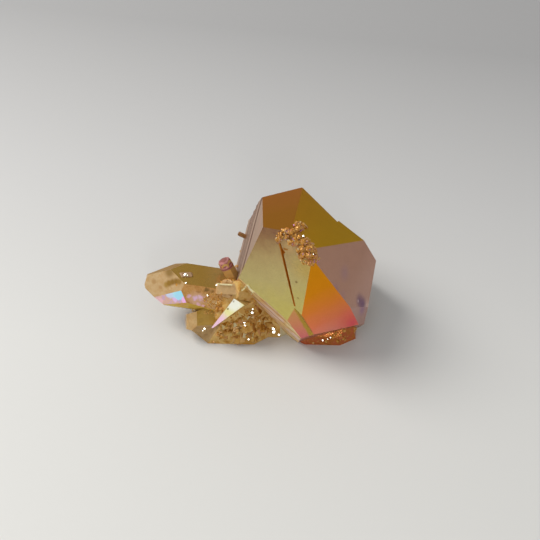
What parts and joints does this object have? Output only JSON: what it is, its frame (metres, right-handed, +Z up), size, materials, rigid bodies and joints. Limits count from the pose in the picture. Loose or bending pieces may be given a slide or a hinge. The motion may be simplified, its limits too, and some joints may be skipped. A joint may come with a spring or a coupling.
{
  "type": "aura quartz cluster",
  "caption": "Cluster of coated clear quartz: a big faceted crystal with its point up and forward, a smaller one lying beside it, on a druse root with a flat base.",
  "frame": {"origin": "middle of the footprint, on the flat underside", "axes": "+X along the cluster's length towards the big crystal, +Z up, the big crystal's point looks up and to -Y"},
  "size_m": [0.0491, 0.0318, 0.0319],
  "materials": {
    "aura_quartz": "polished"
  },
  "bodies": {
    "root": {"quartz_cluster": "aura_quartz"}
  },
  "joints": []
}
